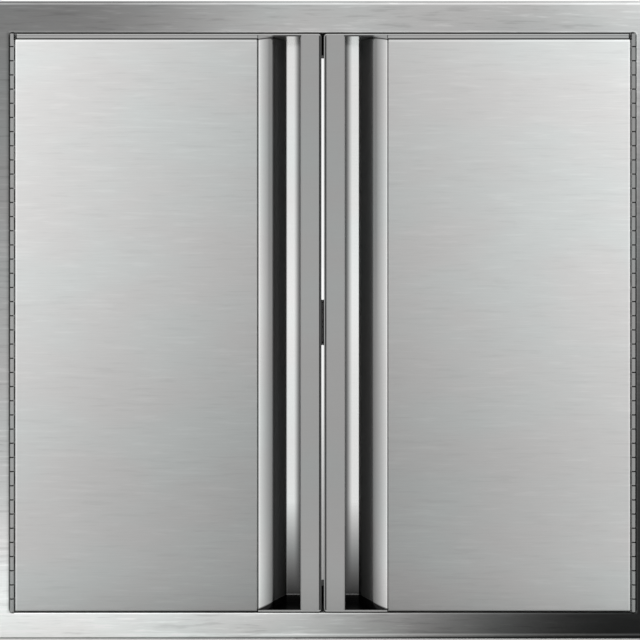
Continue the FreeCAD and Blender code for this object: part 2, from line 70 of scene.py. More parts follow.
SIDES = ("left", "right")
ENDS = ("top", "bottom")
MM = 0.001

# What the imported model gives: x to the right, y to the back, z up, in metres
FRAME_LOW, FRAME_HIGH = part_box("face_frame")
FACE_Y = FRAME_LOW.y
SKIN_LOW, SKIN_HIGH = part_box("right_door_skin")
GRIP_LOW, GRIP_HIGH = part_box("right_grip_bar")
RIM_LOW, RIM_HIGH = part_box("right_pan_rim")
CHANNEL_LOW, CHANNEL_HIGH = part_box("right_handle_channel")
OPENING_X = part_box("right_jamb")[0].x
OPENING_LOW_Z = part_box("jamb_sill")[1].z
OPENING_HIGH_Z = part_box("jamb_header")[0].z


class HingeSizes(bpy.types.PropertyGroup):
    """Sizes of the two continuous hinges."""

    sheet: FloatProperty(
        name="Sheet", description="Thickness of the sheet that the leaves are rolled from",
        default=1.0 * MM, unit="LENGTH")
    pitch: FloatProperty(
        name="Knuckle pitch", description="From one split between two knuckles to the next",
        default=13.52 * MM, unit="LENGTH")
    gap: FloatProperty(
        name="Knuckle gap", description="Width of the split between two knuckles",
        default=1.1 * MM, unit="LENGTH")
    bore: FloatProperty(
        name="Bore radius", description="Inner radius of a knuckle",
        default=1.15 * MM, unit="LENGTH")
    roll: FloatProperty(
        name="Roll", description="How far a knuckle wraps round the pin",
        default=math.radians(240), subtype="ANGLE")
    root: FloatProperty(
        name="Root", description="Depth from the pin's axis to the flat of the leaf",
        default=3.05 * MM, unit="LENGTH")
    steps: IntProperty(
        name="Roll steps", description="Number of strips that a knuckle's roll is drawn with",
        default=26, min=6)
    edge: FloatProperty(
        name="Edge", description="Rounding of the cut edges",
        default=0.14 * MM, unit="LENGTH")


class ScrewSizes(bpy.types.PropertyGroup):
    """Sizes of the pan-head screws of the catches."""

    recess_reach: FloatProperty(
        name="Recess reach", description="From the middle of the cross recess to the end of an arm",
        default=1.9 * MM, unit="LENGTH")
    recess_width: FloatProperty(
        name="Recess width", description="Width of an arm of the cross recess",
        default=0.75 * MM, unit="LENGTH")
    recess_depth: FloatProperty(
        name="Recess depth", description="Depth of the cross recess",
        default=1.1 * MM, unit="LENGTH")
    steps: IntProperty(
        name="Steps", description="Number of sides that the round head is drawn with",
        default=32, min=8)


class SteelTones(bpy.types.PropertyGroup):
    """How light each brushed piece is, from 0 for black to 1 for white as seen on a screen. Many
    hold painted reflections, highlights and shade.
    """

    # The frame's tones are painted reflections: light at bottom left, dark at bottom right
    frame_corners: FloatVectorProperty(
        name="Frame corners",
        description="Tone of the frame at top left, top right, bottom left, bottom right",
        default=(0.47, 0.84, 0.94, 0.15), size=4, min=0, max=1)
    frame_middles: FloatVectorProperty(
        name="Frame middles",
        description="Tone of the frame at the middle of its top and of its bottom",
        default=(0.70, 0.70), size=2, min=0, max=1)
    # The skins' tones are painted light: lighter at the top and beside the hinge
    skin_outer: FloatVectorProperty(
        name="Skin, hinge edge",
        description="Tone of a door skin beside the hinge, at the top and at the bottom",
        default=(0.89, 0.72), size=2, min=0, max=1)
    skin_inner: FloatVectorProperty(
        name="Skin, handle edge",
        description="Tone of a door skin beside the handle, at the top and at the bottom",
        default=(0.74, 0.57), size=2, min=0, max=1)
    grip: FloatProperty(
        name="Grip bar", description="Tone of the grip bars",
        default=0.605, min=0, max=1)
    rim: FloatProperty(
        name="Rim", description="Tone of the inner pans' rims round the doors",
        default=0.60, min=0, max=1)
    # The channel's tones are painted reflections: bright shoulder, dark flank, bright back
    shoulder: FloatVectorProperty(
        name="Shoulder",
        description="Tone of the channel's shoulder beside the skin and where it meets the flank",
        default=(0.785, 0.475), size=2, min=0, max=1)
    flank: FloatProperty(
        name="Flank", description="Tone of the channel's steep flank",
        default=0.47, min=0, max=1)
    # The back's tones behind the bar and at its foot are the bar's painted shadow and a painted
    # reflection of the dark floor plate
    back: FloatVectorProperty(
        name="Channel back",
        description="Tone of the channel's back in view, behind the bar and at its foot",
        default=(0.875, 0.28, 0.19), size=3, min=0, max=1)
    # The floor plates' dark tone is painted shade, as the dark recess they mirror
    recess_floor: FloatProperty(
        name="Recess floor", description="Tone of the plates that close the recesses at the bottom",
        default=0.15, min=0, max=1)
    inside: FloatProperty(
        name="Inside",
        description="Tone of the pieces behind the front, which keep the mill's finish",
        default=0.62, min=0, max=1)
    hinge: FloatProperty(
        name="Hinges", description="Tone of the hinge leaves",
        default=0.62, min=0, max=1)


class StudioSettings(bpy.types.PropertyGroup):
    """Camera, lights and floor."""

    distance: FloatProperty(
        name="Camera distance", description="From the camera to the face of the frame",
        default=1.0, unit="LENGTH")
    view_width: FloatProperty(
        name="Width in view",
        description="Width that the picture takes in at the face of the frame",
        default=0.6112, unit="LENGTH")
    aside: FloatProperty(
        name="Camera aside", description="How far the camera stands to the right of the middle",
        default=-0.0026, unit="LENGTH")
    shift: FloatProperty(
        name="Lens shift",
        description="How far the level camera looks down past its own height, in widths",
        default=0.13)
    front_light: FloatProperty(
        name="Front light",
        description="Brightness that the big soft light in front adds to the room's",
        default=0.2, min=0)
    top_light: FloatProperty(
        name="Top light", description="Brightness of the soft light overhead",
        default=0.5, min=0)
    side_light: FloatProperty(
        name="Side lights", description="Brightness of the soft light at each side",
        default=0.2, min=0)
    rear_light: FloatProperty(
        name="Rear light", description="Brightness of the soft light behind",
        default=0.3, min=0)
    room: FloatProperty(
        name="Room", description="Brightness of the room round the lights",
        default=0.8, min=0)
    floor_colour: FloatVectorProperty(
        name="Floor colour", description="Colour of the plain floor",
        default=(0.80, 0.80, 0.79), subtype="COLOR", min=0, max=1)
    shade: FloatProperty(
        name="Shade", description="How dark the soft shade on the floor behind the door is",
        default=0.5, min=0, max=1)
    background: FloatProperty(
        name="Background", description="Brightness of the plain background",
        default=0.96, min=0)


class AccessDoorSettings(bpy.types.PropertyGroup):
    """All settings of the access door."""

    hinge: PointerProperty(type=HingeSizes, name="Hinges", description="Sizes of the hinges")
    screw: PointerProperty(type=ScrewSizes, name="Screws", description="Sizes of the screws")
    tones: PointerProperty(type=SteelTones, name="Tones", description="Tones of the steel")
    studio: PointerProperty(
        type=StudioSettings, name="Studio", description="Camera, lights and floor")


# Soft lights: the setting of their brightness, width and height, place, and what they are turned to
SOFT_LIGHTS = {
    "front_light": ("front_light", (6.0, 3.6), (0, -2.6, 0.6), (0, 0, 0)),
    "top_light": ("top_light", (3.6, 2.4), (0, -0.6, 2.4), (0, 0, 0.2)),
    "left_light": ("side_light", (1.6, 2.6), (-3.0, -0.6, 0.7), (0, 0, 0)),
    "right_light": ("side_light", (1.6, 2.6), (3.0, -0.6, 0.7), (0, 0, 0)),
    "rear_light": ("rear_light", (3.0, 2.0), (0, 2.4, 1.0), (0, 0, 0)),
}
SENSOR_WIDTH = 36.0                     # of the camera, in millimetres, as it counts them

# The floor, in metres: half its width, and from where to where it fades into the background
FLOOR_HALF = 12.0
FLOOR_FADE_BEHIND = 3.6                 # from the door backwards
FLOOR_FADE_BEFORE = (0.02, -0.2)
FLOOR_FADE_ASIDE = (0.4, 1.8)

# The shade behind the door: where it ends and where it is full, at its sides, front and rear
SHADE_SIDES = (0.42, 0.10)
SHADE_FRONT = (-0.01, 0.04)
SHADE_REAR = (1.6, 0.3)

# Tints that a tone is mixed between, as parts of red, green and blue
NEUTRAL = (1.0, 0.995, 0.985)
COOL = (0.965, 1.0, 0.99)
ZINC_TINT = (0.9, 0.95, 1.0)
DUST_TINT = (0.93, 0.97, 1.0)

SCREEN_GAMMA = 2.2                      # power that turns a tone on a screen into a brightness
SEED_STEPS = (1.0, 0.7, 1.3)            # how far a seed of 1 moves a noise along each axis

# Marks in the steel, by their lengths along X, Y and Z. Streaks and scratches can stand upright.
STREAK = (45 * MM, 2 * MM, 0.9 * MM)
SCRATCH = (9 * MM, 0.5 * MM, 0.22 * MM)
RUBBED = (38 * MM, 6 * MM, 3.2 * MM)
PATCH = (130 * MM, 90 * MM, 70 * MM)
CLOUD = (60 * MM, 60 * MM, 60 * MM)
PATCH_SWING = 0.02
ROUGHNESS_SWING = 0.05
GRAIN_DEPTH = 0.012 * MM
WELD_RADIUS = 2.6 * MM
WELD_SPACING = 58 * MM
WELD_INSET = 9 * MM                     # from the edge of a pan to its row of welds
JAMB_WELD_INSET = 5 * MM                # from the rear edge of a hinge leaf to its row of welds

# A turn of the surface, by how far it faces along an axis, over which a tone passes into the next
# The first turn is where the painted highlight on edges and folds sets in
HIGHLIGHT_TURN = (0.995, 0.6)
FRONT_TURN = (-0.4, -0.8)
UP_TURN = (0.4, 0.8)

# The lowest part of the front, and how much lighter a painted reflection of the floor makes it than
# the tones above it say
LOW_REFLECTION_BAND = (-140 * MM, -270 * MM)
FRAME_LIFT = 0.12
SKIN_LIFT = 0.02
HANDLE_LIFT = 0.04

# The frame's painted reflections: the parts of its width over which one tone passes into the next
TOP_LEFT_FADE = (0.12, 0.5)
TOP_RIGHT_FADE = (0.75, 1.0)
LOW_LEFT_FADE = (0.0, 0.6)
LOW_RIGHT_FADE = (0.42, 0.95)
HEIGHT_POWER = (0.6, 1.7)               # how late the upper tones set in, at the left and right
FRAME_TONES = (0.12, 0.98)              # darkest and lightest
CORNER_FADE = 1.5 * MM                  # over which lines along the opening end at its corners

# The channel's painted reflections and shade: where each part's tone sets in and is reached,
# inwards from the edge beside the skin
SKIN_EDGE_FADE = (1.1 * MM, 0.5 * MM)
SHOULDER_FADE = (2.8 * MM, 14.4 * MM)
FLANK_FADE = (14.4 * MM, 16.8 * MM)
BACK_FADE = (24.4 * MM, 28.2 * MM)
CAP_EDGE_FADE = (16 * MM, 12 * MM)
# The bar's painted shadow on the channel's back
BEHIND_BAR_FADE = (7.2 * MM, -1.4 * MM)     # outwards from the edge of the bar
# The back's painted reflection of the dark floor plate fades out upwards from the foot
FOOT_FADE = (3 * MM, 98 * MM)           # upwards from the foot
# The channel's reflections are painted
SIDE_SHIFT = 0.4 * MM                   # how much further right the reflections stand on both sides
SHADE_LINE_SLOPE = 0.15                       # rise of the painted shade line under the rim for each length inwards
# The floor plate at the foot is a painted reflection, with a painted highlight on its edge
FOOT_SLOPE = 0.42                       # rise of the mirrored floor plate for each length inwards
FOOT_HEIGHT = 6.5 * MM

# How edges are rounded and folds are shaded
JOIN_REACH = 0.001 * MM                 # corners that lie nearer than this become one
FLAT_WITHIN = math.radians(0.2)         # faces that turn less than this become one
SMOOTH_BELOW = math.radians(38)         # sharpest turn that is shaded as a fold
EDGE_ABOVE = math.radians(40)           # slightest turn that is rounded as a cut edge
SHEET_EDGE = 0.15 * MM
FRONT_EDGE = 0.12 * MM                  # on the sheets whose cut edges show at the front
MOULDED_EDGE = 0.6 * MM
MAGNET_EDGE = 0.25 * MM
PIN_EDGE = 0.25 * MM
RUBBER_EDGE = 0.9 * MM
PAD_SWELL = 0.14 * MM                   # how far the meeting pads bulge

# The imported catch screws, and the driver's cross in them
HEAD_RADIUS = 3.2 * MM
HEAD_HEIGHT = 1.9 * MM
SHANK_RADIUS = 1.7 * MM
CROSS_REACH = (1.15, 0.45)              # parts of an arm's reach, above the head and at the bottom
CROSS_WIDTH = (1.0, 0.6)                # and of its width
CROSS_ABOVE = 0.4 * MM                  # how far the cutter stands out of the head

# Tones of narrow places. All but the zinc's are painted light: shade beside the skin, under the rim
# and on the shade line, in the grip's fold, on the cap's and the meeting edges, and as the dark
# pins; the floor plate's reflection at the foot; highlights on the floor plates' edges
SKIN_EDGE_TONE = 0.55
RIM_SHADOW_TONE = 0.33
UNDER_RIM_BAND_TONE = 0.60
SHADE_LINE_TONE = 0.26
FOOT_TONE = 0.16
FOOT_EDGE_TONE = 0.55
GRIP_SHADE_TONE = 0.3
CAP_EDGE_TONES = (0.28, 0.60)           # over the recess and over the shoulder
MEETING_EDGE_TONES = (0.32, 0.55)       # of the left door and of the right door
FLOOR_REAR_TONE = 0.3
FLOOR_EDGE_TONE = 0.65
PIN_SHADE_TONE = 0.18
ZINC_TONE = 0.75


class Finish:
    """A material whose nodes are added one by one, with the piece's own coordinates as its map."""

    def __init__(self, name):
        self.material = bpy.data.materials.new(name)
        self.material.use_nodes = True
        self.tree = self.material.node_tree
        self.tree.nodes.clear()
        self.shader = self.add("ShaderNodeBsdfPrincipled")
        output = self.add("ShaderNodeOutputMaterial")
        self.tree.links.new(self.shader.outputs["BSDF"], output.inputs["Surface"])
        self.place = self.add("ShaderNodeTexCoord").outputs["Object"]
        self.x, self.y, self.z = self.add_fed("ShaderNodeSeparateXYZ", self.place).outputs
        self.away = self.math("ABSOLUTE", self.x)

    def add(self, kind, **settings):
        """Add a node with the given settings."""
        node = self.tree.nodes.new(kind)
        for key, value in settings.items():
            setattr(node, key, value)
        return node

    def feed(self, socket, value):
        """Link a socket to another one, or set it to a plain value."""
        if isinstance(value, bpy.types.NodeSocket):
            self.tree.links.new(value, socket)
        else:
            socket.default_value = value

    def add_fed(self, kind, *values, **settings):
        """Add a node and feed its sockets in order."""
        node = self.add(kind, **settings)
        for socket, value in zip(node.inputs, values):
            self.feed(socket, value)
        return node

    def math(self, operation, *values, clamp=False):
        """The result of a sum on sockets or plain values."""
        node = self.add_fed("ShaderNodeMath", *values, operation=operation, use_clamp=clamp)
        return node.outputs[0]

    def between(self, share, first, second):
        """The value that lies the given share of the way from the first to the second."""
        return self.math("MULTIPLY_ADD", share, self.math("SUBTRACT", second, first), first)

    def rise(self, value, low, high, smooth=True):
        """From 0 where the value is low to 1 where it is high."""
        kind = "SMOOTHSTEP" if smooth else "LINEAR"
        node = self.add_fed("ShaderNodeMapRange", value, low, high, 0.0, 1.0,
                            interpolation_type=kind, clamp=True)
        return node.outputs[0]

    def line(self, value, middle, half_width):
        """1 where the value is the middle one, falling to 0 at the half width to either side."""
        off = self.math("ABSOLUTE", self.math("SUBTRACT", value, middle))
        return self.rise(off, half_width, 0.0)

    def facing(self):
        """How far the surface faces along each axis, as three sockets from -1 to 1."""
        normal = self.add("ShaderNodeTexCoord").outputs["Normal"]
        return self.add_fed("ShaderNodeSeparateXYZ", normal).outputs

    def lighten(self, tone, share, change):
        """Add the change to a tone where the share is 1. A change below 0 darkens it."""
        return self.math("MULTIPLY_ADD", share, change, tone)

    def draw_lines(self, tone, rows, share=None):
        """Lighten a tone along lines. A row is the value across, middle, half width and change."""
        for value, middle, half_width, change in rows:
            mark = self.line(value, middle, half_width)
            if share is not None:
                mark = self.math("MULTIPLY", share, mark)
            tone = self.lighten(tone, mark, change)
        return tone

    def scale_tone(self, tone, share, amount):
        """Make a tone lighter by the given part of itself where the share is 1."""
        return self.math("MULTIPLY", tone, self.math("MULTIPLY_ADD", share, amount, 1.0))

    def lift_low(self, tone, amount):
        """Lighten the lowest part with a painted reflection of the floor in the door's own shade.
        """
        return self.scale_tone(tone, self.rise(self.z, *LOW_REFLECTION_BAND), amount)

    def noise(self, lengths, detail=3.0, rough=0.55, seed=0.0):
        """Noise from 0 to 1 whose marks have the given length along each axis."""
        scale = [1 / length for length in lengths]
        mapping = self.add("ShaderNodeMapping")
        self.feed(mapping.inputs["Vector"], self.place)
        mapping.inputs["Scale"].default_value = scale
        mapping.inputs["Location"].default_value = [seed * step for step in SEED_STEPS]
        node = self.add("ShaderNodeTexNoise")
        self.feed(node.inputs["Vector"], mapping.outputs[0])
        node.inputs["Scale"].default_value = 1.0
        node.inputs["Detail"].default_value = detail
        node.inputs["Roughness"].default_value = rough
        return node.outputs[0]

    def swing(self, noise, amount):
        """A factor near 1 that follows a noise by plus or minus the given amount."""
        return self.math("MULTIPLY_ADD", noise, 2 * amount, 1 - amount)

    def bump(self, height, depth, strength):
        """Relief of the surface. The depth is that of a height of 1."""
        node = self.add("ShaderNodeBump")
        node.inputs["Strength"].default_value = strength
        node.inputs["Distance"].default_value = depth
        self.feed(node.inputs["Height"], height)
        self.feed(self.shader.inputs["Normal"], node.outputs[0])

    def colour(self, tone, first, second, share):
        """Base colour: a tint between two, scaled so that it looks as light as the tone."""
        tint = self.add("ShaderNodeMix", data_type="RGBA")
        self.feed(tint.inputs["Factor"], share)
        tint.inputs["A"].default_value = (*first, 1)
        tint.inputs["B"].default_value = (*second, 1)
        scaled = self.add("ShaderNodeVectorMath", operation="SCALE")
        self.feed(scaled.inputs[0], tint.outputs["Result"])
        self.feed(scaled.inputs["Scale"], self.math("POWER", tone, SCREEN_GAMMA))
        self.feed(self.shader.inputs["Base Color"], scaled.outputs[0])


def brushed_steel(finish, tone, upright=False, roughness=0.3, streaks=0.035, marks=0.0):
    """Brushed stainless steel: scratches, longer streaks, rubbed marks and faint cool patches."""
    order = -1 if upright else 1
    streak = finish.noise(STREAK[::order], detail=4.0, rough=0.62)
    scratch = finish.noise(SCRATCH[::order], detail=2.0, seed=3.0)
    patch = finish.noise(PATCH, detail=2.0, seed=7.0)
    lightness = finish.swing(streak, streaks)
    lightness = finish.math("MULTIPLY", lightness, finish.swing(patch, PATCH_SWING))
    lightness = finish.math("MULTIPLY", lightness, finish.swing(scratch, streaks / 2))
    if marks:
        rubbed = finish.noise(RUBBED, seed=19.0)
        lighter, darker = finish.rise(rubbed, 0.55, 0.7), finish.rise(rubbed, 0.45, 0.3)
        lightness = finish.lighten(lightness, finish.math("SUBTRACT", lighter, darker), marks)
    cool = finish.rise(patch, 0.35, 0.7)
    finish.colour(finish.math("MULTIPLY", tone, lightness), NEUTRAL, COOL, cool)
    shader = finish.shader
    shader.inputs["Metallic"].default_value = 1.0
    smoothest = finish.math("SUBTRACT", roughness, ROUGHNESS_SWING)
    rough = finish.math("MULTIPLY_ADD", streak, 2 * ROUGHNESS_SWING, smoothest)
    finish.feed(shader.inputs["Roughness"], rough)
    relief = finish.math("ADD", scratch, finish.math("MULTIPLY", streak, 0.5))
    finish.bump(relief, GRAIN_DEPTH, 0.5)
    return finish.material


def paint_edge_highlight(finish, tone, lift):
    """Lighten a tone where the surface turns from the front: a painted highlight on folds and
    edges.
    """
    frontal = finish.math("ABSOLUTE", finish.facing()[1])
    return finish.lighten(tone, finish.rise(frontal, *HIGHLIGHT_TURN), lift)


def face_frame_steel(tones):
    """The frame's sheet, with painted reflections light at bottom left and dark at bottom right,
    painted highlights and shade lines on its folds and opening edges, and streaks across.
    """
    finish = Finish("face_frame_steel")
    top_left, top_right, low_left, low_right = tones.frame_corners
    top_middle, low_middle = tones.frame_middles
    # Painted reflections: tones across and up the frame, light at bottom left and dark at bottom
    # right
    along = finish.rise(finish.x, FRAME_LOW.x, FRAME_HIGH.x, smooth=False)
    upper = finish.between(finish.rise(along, *TOP_LEFT_FADE), top_left, top_middle)
    upper = finish.between(finish.rise(along, *TOP_RIGHT_FADE), upper, top_right)
    lower = finish.between(finish.rise(along, *LOW_LEFT_FADE), low_left, low_middle)
    lower = finish.between(finish.rise(along, *LOW_RIGHT_FADE), lower, low_right)
    height = finish.rise(finish.z, FRAME_LOW.z, FRAME_HIGH.z, smooth=False)
    height = finish.math("POWER", height, finish.between(along, *HEIGHT_POWER))
    tone = finish.between(height, lower, upper)
    # Painted highlights and painted shade lines on the top and bottom outer folds
    outer_fold_shading = (
        (finish.z, FRAME_HIGH.z - 3.0 * MM, 1.6 * MM, 0.20),
        (finish.z, FRAME_HIGH.z - 1.4 * MM, 0.9 * MM, -0.10),
        (finish.z, FRAME_HIGH.z, 1.0 * MM, -0.12),
        (finish.z, FRAME_LOW.z + 4.6 * MM, 1.8 * MM, 0.16),
        (finish.z, FRAME_LOW.z + 1.2 * MM, 1.4 * MM, -0.40),
    )
    # Painted highlights on the opening's top and bottom edges
    opening_edge_highlights = (
        (finish.z, OPENING_HIGH_Z + 0.8 * MM, 1.1 * MM, 0.08),
        (finish.z, OPENING_LOW_Z - 0.6 * MM, 1.2 * MM, 0.03),
    )
    # Painted shade on the opening's left edge and a painted highlight on its right edge
    side_edge_shading = (
        (finish.x, -OPENING_X, 4.0 * MM, -0.10),
        (finish.x, OPENING_X, 2.0 * MM, 0.12),
    )
    below = finish.rise(finish.z, OPENING_HIGH_Z + CORNER_FADE, OPENING_HIGH_Z - CORNER_FADE)
    above = finish.rise(finish.z, OPENING_LOW_Z - CORNER_FADE, OPENING_LOW_Z + CORNER_FADE)
    within_width = finish.rise(finish.away, OPENING_X + CORNER_FADE, OPENING_X - CORNER_FADE)
    within_height = finish.math("MULTIPLY", below, above)
    tone = finish.draw_lines(tone, outer_fold_shading)
    tone = finish.draw_lines(tone, opening_edge_highlights, within_width)
    tone = finish.draw_lines(tone, side_edge_shading, within_height)
    darkest, lightest = FRAME_TONES
    tone = finish.math("MAXIMUM", finish.lift_low(tone, FRAME_LIFT), darkest)
    tone = finish.math("MINIMUM", tone, lightest)
    return brushed_steel(finish, tone, streaks=0.045, marks=0.07)


def skin_steel(tones):
    """The door skins, with painted light: lighter beside the hinge than beside the handle and
    lighter at the top, painted highlights on the folds and painted shade under the rim.
    """
    finish = Finish("skin_steel")
    # Painted light: the skin is lighter at the top and beside the hinge
    height = finish.rise(finish.z, SKIN_LOW.z, SKIN_HIGH.z, smooth=False)
    outer = finish.between(height, tones.skin_outer[1], tones.skin_outer[0])
    inner = finish.between(height, tones.skin_inner[1], tones.skin_inner[0])
    outward = finish.rise(finish.away, SKIN_LOW.x, SKIN_HIGH.x, smooth=False)
    tone = paint_edge_highlight(finish, finish.between(outward, inner, outer), 0.12)
    # Painted highlights on the top, outer and inner folds
    skin_fold_highlights = (
        (finish.z, SKIN_HIGH.z - 2.2 * MM, 1.2 * MM, 0.09),
        (finish.away, SKIN_HIGH.x - 1.5 * MM, 1.3 * MM, 0.10),
        (finish.away, SKIN_LOW.x + 0.1 * MM, 0.8 * MM, 0.30),
    )
    tone = finish.draw_lines(tone, skin_fold_highlights)
    # Painted shade on the lower fold
    skin_lower_fold_shade = finish.rise(finish.z, SKIN_LOW.z + 2.2 * MM, SKIN_LOW.z + 0.8 * MM)
    tone = finish.lighten(tone, skin_lower_fold_shade, -0.12)
    # Painted shadow under the rim
    under_rim_shadow = finish.rise(finish.z, SKIN_HIGH.z - 1.3 * MM, SKIN_HIGH.z - 0.6 * MM)
    tone = finish.between(under_rim_shadow, tone, RIM_SHADOW_TONE)
    return brushed_steel(finish, finish.lift_low(tone, SKIN_LIFT), marks=0.022)


def channel_steel(tones, cap=False):
    """The handle channels, in painted reflections: bright shoulder, dark flank, bright back that
    has the bar's painted shadow behind the bar and is dark at its foot.

    The cap plates take these painted reflections too, with painted shade on a front edge of their
    own.
    """
    finish = Finish("recess_cap_steel" if cap else "channel_steel")
    # The painted reflections stand a little further right on both sides
    side_shift = finish.math("MULTIPLY", finish.math("SIGN", finish.x), SIDE_SHIFT)
    away = finish.math("SUBTRACT", finish.away, side_shift)

    def reached(start, end, smooth=True):
        """From 0 at the start to 1 at the end, both inwards from the edge beside the skin."""
        return finish.rise(away, CHANNEL_HIGH.x - start, CHANNEL_HIGH.x - end, smooth)

    # Painted reflections: the shoulder fades from light to dark, with a painted highlight on its
    # crest
    tone = finish.between(reached(*SHOULDER_FADE, smooth=False), *tones.shoulder)
    tone = finish.draw_lines(tone, [(away, CHANNEL_HIGH.x - 1.6 * MM, 0.9 * MM, 0.10)])
    # Painted shade beside the skin's edge, then the flank's dark painted reflection
    tone = finish.between(reached(*SKIN_EDGE_FADE), tone, SKIN_EDGE_TONE)
    on_flank = reached(*FLANK_FADE)
    tone = finish.between(on_flank, tone, tones.flank)
    # The back: a painted reflection that darkens to the foot, where it mirrors the dark floor plate
    in_view, behind_bar, foot = tones.back
    foot_low, foot_high = [CHANNEL_LOW.z + height for height in FOOT_FADE]
    height = finish.rise(finish.z, foot_low, foot_high, smooth=False)
    back = finish.between(height, foot, in_view)
    # The bar's painted shadow on the back
    bar_start, bar_end = [GRIP_HIGH.x + reach for reach in BEHIND_BAR_FADE]
    bar_shadow = finish.rise(away, bar_start, bar_end)
    back = finish.between(bar_shadow, back, finish.math("MINIMUM", back, behind_bar))
    on_back = reached(*BACK_FADE)
    tone = finish.lift_low(finish.between(on_back, tone, back), HANDLE_LIFT)
    if cap:
        # The cap's front edge gets painted shade
        over_shoulder = reached(*CAP_EDGE_FADE)
        front_edge = finish.between(over_shoulder, *CAP_EDGE_TONES)
        tone = finish.between(finish.rise(finish.facing()[1], *FRONT_TURN), tone, front_edge)
    else:
        tone = channel_ends(finish, tone)
    only_flank = finish.math("SUBTRACT", on_flank, on_back)
    roughness = finish.math("MULTIPLY_ADD", only_flank, 0.25, 0.2)
    return brushed_steel(finish, tone, roughness=roughness, streaks=0.02)


def channel_ends(finish, tone):
    """A painted shade line under the rim at the top, and a painted reflection of the floor plate at
    the foot.
    """
    inward = finish.math("SUBTRACT", CHANNEL_HIGH.x, finish.away)
    # Painted shade line under the rim, with a painted band above it
    shade_line_level = finish.math("MULTIPLY_ADD", inward, SHADE_LINE_SLOPE, SKIN_HIGH.z - 0.8 * MM)
    above_shade_line = finish.math("SUBTRACT", finish.z, shade_line_level)
    tone = finish.between(finish.rise(above_shade_line, 0.4 * MM, 1.2 * MM), tone, UNDER_RIM_BAND_TONE)
    tone = finish.between(finish.line(above_shade_line, 0.0, 1.2 * MM), tone, SHADE_LINE_TONE)
    # Painted reflection of the dark floor plate at the foot, with a painted highlight on its edge
    foot = finish.math("MINIMUM", finish.math("MULTIPLY", inward, FOOT_SLOPE), FOOT_HEIGHT)
    foot = finish.math("ADD", foot, CHANNEL_LOW.z + 1.0 * MM)
    above_foot = finish.math("SUBTRACT", finish.z, foot)
    tone = finish.between(finish.rise(above_foot, 0.3 * MM, -0.3 * MM), tone, FOOT_TONE)
    return finish.between(finish.line(above_foot, 0.0, 0.9 * MM), tone, FOOT_EDGE_TONE)


def grip_steel(tones):
    """The grip bars: painted shade in the fold beside the rim, a painted highlight on the fold
    beside the recess.
    """
    finish = Finish("grip_steel")
    # Painted shade in the fold beside the rim, painted highlight on the fold beside the recess
    grip_fold_shade = finish.rise(finish.away, GRIP_LOW.x + 1.4 * MM, GRIP_LOW.x + 0.2 * MM)
    tone = finish.between(grip_fold_shade, tones.grip, GRIP_SHADE_TONE)
    grip_fold_highlight = finish.rise(finish.away, GRIP_HIGH.x - 1.4 * MM, GRIP_HIGH.x - 0.4 * MM)
    tone = finish.lighten(tone, grip_fold_highlight, 0.06)
    return brushed_steel(finish, finish.lift_low(tone, HANDLE_LIFT), streaks=0.02)


def rim_steel(tones):
    """The rims of the inner pans: painted highlights on the edges above and below the face of the
    lip, and painted shade below it and on the meeting edges.
    """
    finish = Finish("rim_steel")
    # Painted highlights on the edges of the lip
    rim_edge_highlights = (
        (finish.z, RIM_HIGH.z - 0.4 * MM, 1.0 * MM, 0.14),
        (finish.z, RIM_HIGH.z - 3.0 * MM, 1.0 * MM, 0.12),
    )
    tone = finish.draw_lines(tones.rim - 0.02, rim_edge_highlights)
    # Painted shade in the groove below the lip
    rim_groove_shade = finish.rise(finish.z, RIM_HIGH.z - 3.6 * MM, RIM_HIGH.z - 4.4 * MM)
    tone = finish.between(rim_groove_shade, tone, tones.rim - 0.18)
    # The meeting edges get painted shade, darker on the left door than on the right
    meeting = finish.math("LESS_THAN", finish.away, RIM_LOW.x + 1.3 * MM)
    left_to_right = finish.rise(finish.x, -RIM_LOW.x, RIM_LOW.x, smooth=False)
    tone = finish.between(meeting, tone, finish.between(left_to_right, *MEETING_EDGE_TONES))
    return brushed_steel(finish, paint_edge_highlight(finish, tone, 0.08), streaks=0.02)


def recess_floor_steel(tones):
    """The floor plates: painted shade on top, as the dark recess they mirror, with painted
    highlights at the rear and on the front edge.
    """
    finish = Finish("recess_floor_steel")
    # Painted shade on top, with a painted highlight at the rear and on the front edge
    rear = finish.rise(finish.y, CHANNEL_HIGH.y - 2.5 * MM, CHANNEL_HIGH.y - 0.5 * MM)
    top = finish.between(rear, tones.recess_floor, FLOOR_REAR_TONE)
    tone = finish.between(finish.rise(finish.facing()[2], *UP_TURN), FLOOR_EDGE_TONE, top)
    return brushed_steel(finish, tone, roughness=0.35)


def mill_steel(tones, name="mill_steel", rows=()):
    """Sheet as it comes from the mill: cloudy, with a faint grain and round marks of spot welds."""
    finish = Finish(name)
    cloud = finish.noise(CLOUD, detail=4.0, seed=11.0)
    tone = finish.math("MULTIPLY", tones.inside, finish.swing(cloud, 0.05))
    if rows:
        off_weld = spot_welds(finish, rows)
        ring = finish.line(off_weld, WELD_RADIUS, 0.7 * MM)
        dish = finish.rise(off_weld, WELD_RADIUS, WELD_RADIUS - 0.6 * MM)
        tone = finish.scale_tone(tone, ring, -0.14)
        tone = finish.scale_tone(tone, dish, 0.07)
    return brushed_steel(finish, tone, roughness=0.42, streaks=0.015)


def spot_welds(finish, rows):
    """Distance to the nearest spot weld. A row is the axis across, its place and its own axis."""
    nearest = 1.0
    for across_axis, place, own_axis in rows:
        across = finish.math("SUBTRACT", getattr(finish, across_axis), place)
        along = finish.math("PINGPONG", getattr(finish, own_axis), WELD_SPACING / 2)
        squares = finish.math("MULTIPLY_ADD", across, across, finish.math("MULTIPLY", along, along))
        nearest = finish.math("MINIMUM", nearest, finish.math("SQRT", squares))
    return nearest


